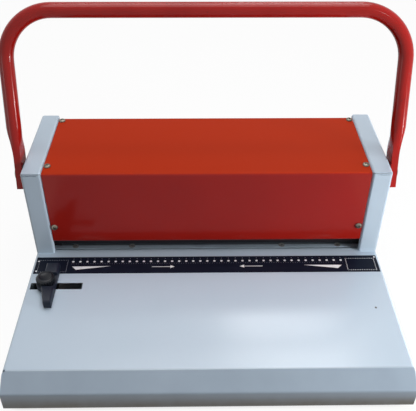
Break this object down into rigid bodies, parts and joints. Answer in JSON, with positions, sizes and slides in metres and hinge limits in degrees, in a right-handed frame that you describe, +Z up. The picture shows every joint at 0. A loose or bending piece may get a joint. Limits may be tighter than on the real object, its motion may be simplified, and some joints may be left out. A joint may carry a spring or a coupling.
{
  "type": "coil binding hole punch",
  "caption": "Manual hole punch for coil binding: folded white steel table, red punch housing with a bent-tube lever, an edge guide in a slot and a chip tray at the back.",
  "frame": {"origin": "on the floor, under the middle of the machine's outline", "axes": "+X across the machine to the right, +Y to the back, +Z up"},
  "size_m": [0.381, 0.273, 0.2709],
  "materials": {
    "white_paint": "semi-gloss powder coat",
    "red_paint": "satin powder coat",
    "lever_paint": "gloss paint",
    "scale_film": "satin film with printed marks",
    "guide_plastic": "fine moulded grain",
    "knob_plastic": "moulded",
    "rubber": "matt",
    "screw_steel": "zinc plated",
    "plate_steel": "ground",
    "tool_steel": "oiled",
    "black_steel": "blackened",
    "spring_steel": "drawn wire",
    "bush_brass": "turned",
    "tray_paint": "satin"
  },
  "bodies": {
    "chassis": {"base_table": "white_paint", "rubber_feet": "rubber", "scale_strip": "scale_film", "end_cap_left": "white_paint", "end_cap_right": "white_paint", "top_cover": "red_paint", "rear_panel": "red_paint", "cover_screws": "screw_steel", "rear_panel_screws": "screw_steel", "cap_screws": "screw_steel", "side_frame_left": "plate_steel", "side_frame_right": "plate_steel", "frame_screws": "screw_steel", "tie_bar": "plate_steel", "shaft_bushes": "bush_brass", "die_plate": "plate_steel", "die_screws": "screw_steel", "die_support_bar": "plate_steel", "die_rail_left": "plate_steel", "die_rail_right": "plate_steel", "guide_plate": "black_steel", "throat_spacers": "black_steel", "paper_stop": "plate_steel", "plate_bolts": "screw_steel", "guide_posts": "tool_steel", "return_springs": "spring_steel", "tray_runners": "plate_steel"},
    "drive": {"main_shaft": "tool_steel", "cam_keys": "tool_steel", "lift_cams": "tool_steel", "lever": "lever_paint", "lever_spacers": "black_steel", "lever_screws": "screw_steel"},
    "punch_carriage": {"punch_bar": "tool_steel", "punch_pins": "tool_steel", "cam_pads": "tool_steel"},
    "edge_guide": {"guide_fence": "guide_plastic", "clamp_plate": "plate_steel", "clamp_stud": "screw_steel"},
    "guide_knob": {"clamp_knob": "knob_plastic"},
    "tray": {"chip_tray": "tray_paint"}
  },
  "joints": [
    {"name": "lever_swing", "type": "hinge", "parent": "chassis", "child": "drive", "pos_m": [0, 0.05197, 0.1183], "axis": [1, 0, 0], "range_deg": [0, 90]},
    {"name": "punch_stroke", "type": "slide", "parent": "chassis", "child": "punch_carriage", "axis": [0, 0, -1], "range_m": [0, 0.0071], "stiffness_N_per_m": 1500, "springref_m": -0.0135, "deforming": ["return_springs"]},
    {"name": "guide_slide", "type": "slide", "parent": "chassis", "child": "edge_guide", "axis": [1, 0, 0], "range_m": [-0.0095, 0.027]},
    {"name": "knob_turn", "type": "hinge", "parent": "edge_guide", "child": "guide_knob", "pos_m": [-0.1555, -0.02, 0.0403], "axis": [0, 0, 1], "range_deg": [0, 180]},
    {"name": "tray_slide", "type": "slide", "parent": "chassis", "child": "tray", "axis": [0, 1, 0], "range_m": [0, 0.085]}
  ],
  "couplings": [
    {"joint": "punch_stroke", "follows": "lever_swing", "m_per_rad": 0.0045}
  ]
}
